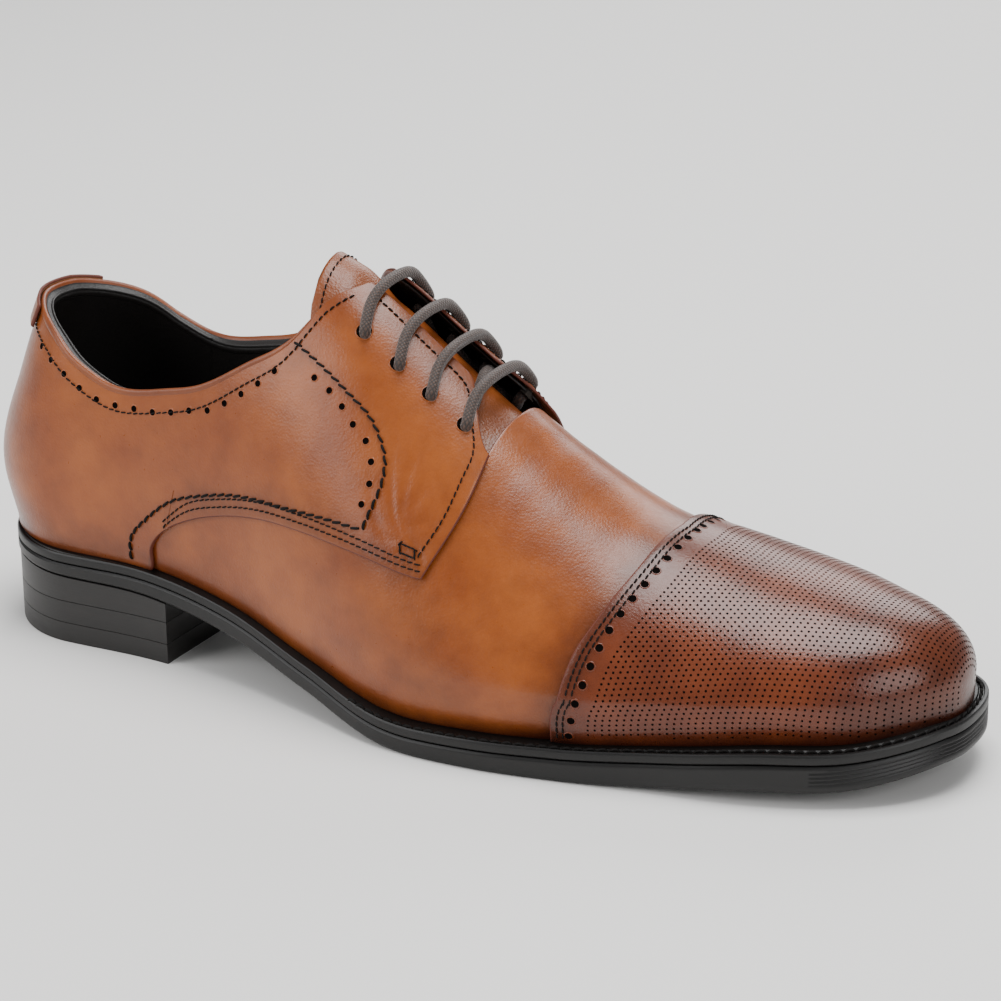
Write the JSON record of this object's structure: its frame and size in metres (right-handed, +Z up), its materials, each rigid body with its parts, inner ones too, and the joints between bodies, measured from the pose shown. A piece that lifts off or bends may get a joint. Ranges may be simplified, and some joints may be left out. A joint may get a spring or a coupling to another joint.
{
  "type": "leather lace-up shoe",
  "caption": "Right-foot leather lace-up shoe with a perforated toe cap, open lacing, a welted sole and a stacked heel, laced and tied off inside.",
  "frame": {"origin": "centre of the shoe's box on the ground, under the heel and the ball of the sole", "axes": "+X runs from the heel to the toe, +Y to the inner (medial) side of the foot, +Z up"},
  "size_m": [0.3038, 0.1066, 0.1213],
  "materials": {
    "tan_leather": "burnished, waxed",
    "cap_leather": "burnished dark, micro-perforated, polished",
    "lining_leather": "matt",
    "sole_rubber": "semi-matt, polished edge",
    "heel_rubber": "matt, brushed edge",
    "lace_cord": "waxed round cord",
    "lace_tip": "clear brown tip",
    "stiffener": "pasted board",
    "cork": "granular cork",
    "insole_board": "vegetable-tanned, raw",
    "nail_steel": "plain",
    "shank_steel": "rolled",
    "eyelet_metal": "dark, blind"
  },
  "bodies": {
    "shoe": {"outsole": "sole_rubber", "welt": "sole_rubber", "heel_upper_lift": "heel_rubber", "heel_lower_lift": "heel_rubber", "heel_top_piece": "heel_rubber", "heel_nail_1": "nail_steel", "heel_nail_2": "nail_steel", "heel_nail_3": "nail_steel", "heel_nail_4": "nail_steel", "heel_nail_5": "nail_steel", "heel_nail_6": "nail_steel", "shank": "shank_steel", "cork_filler": "cork", "heel_seat_filler": "cork", "insole_board": "insole_board", "sock_liner": "lining_leather", "heel_counter": "stiffener", "toe_puff": "stiffener", "heel_grip": "lining_leather", "vamp_lining": "lining_leather", "vamp": "tan_leather", "toe_cap": "cap_leather", "heel_tab": "tan_leather", "quarter_lateral": "tan_leather", "quarter_lining_lateral": "lining_leather", "facing_stay_lateral": "lining_leather", "eyelet_lateral_1": "eyelet_metal", "eyelet_lateral_2": "eyelet_metal", "eyelet_lateral_3": "eyelet_metal", "eyelet_lateral_4": "eyelet_metal", "lace_tail_lateral": "lace_cord", "aglet_lateral": "lace_tip", "quarter_medial": "tan_leather", "quarter_lining_medial": "lining_leather", "facing_stay_medial": "lining_leather", "eyelet_medial_1": "eyelet_metal", "eyelet_medial_2": "eyelet_metal", "eyelet_medial_3": "eyelet_metal", "eyelet_medial_4": "eyelet_metal", "lace_tail_medial": "lace_cord", "aglet_medial": "lace_tip", "lace": "lace_cord"},
    "tongue": {"tongue": "tan_leather", "tongue_lining": "lining_leather"}
  },
  "joints": [
    {"name": "tongue_flex", "type": "hinge", "parent": "shoe", "child": "tongue", "pos_m": [0.0248, 0, 0.0655], "axis": [0, 1, 0], "range_deg": [-10, 0]}
  ]
}
